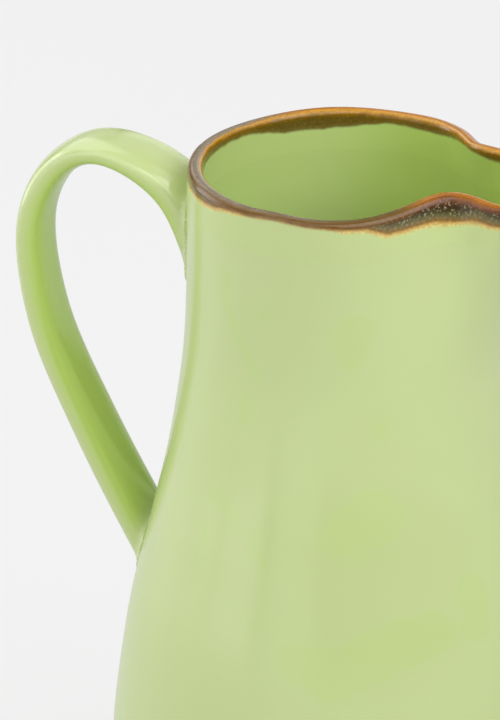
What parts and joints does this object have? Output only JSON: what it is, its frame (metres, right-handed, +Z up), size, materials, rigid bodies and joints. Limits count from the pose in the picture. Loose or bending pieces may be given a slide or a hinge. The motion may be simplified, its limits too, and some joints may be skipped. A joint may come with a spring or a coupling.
{
  "type": "ceramic pitcher",
  "caption": "Tall glazed stoneware jug with a full belly, narrow neck, pinched pouring spout, iron-brown rim and a looped strap handle.",
  "frame": {"origin": "on the table, under the middle of the pitcher's bounding box (16.5 mm from the pot's own axis, towards the handle)", "axes": "+Z up, +X from the handle to the pouring spout, +Y across"},
  "size_m": [0.18, 0.147, 0.2528],
  "materials": {
    "green_glaze": "glossy pale pistachio-green glaze, a little darker where it runs thick",
    "rim_glaze": "glossy iron-brown glaze breaking to amber at its edges and lilac-grey over the lip",
    "bare_clay": "unglazed buff stoneware, turned smooth"
  },
  "bodies": {
    "root": {"foot_ring": "bare_clay", "base_floor": "green_glaze", "body_wall": "green_glaze", "rim_band": "rim_glaze", "upper_handle_joint": "green_glaze", "handle_strap": "green_glaze", "lower_handle_joint": "green_glaze"}
  },
  "joints": []
}
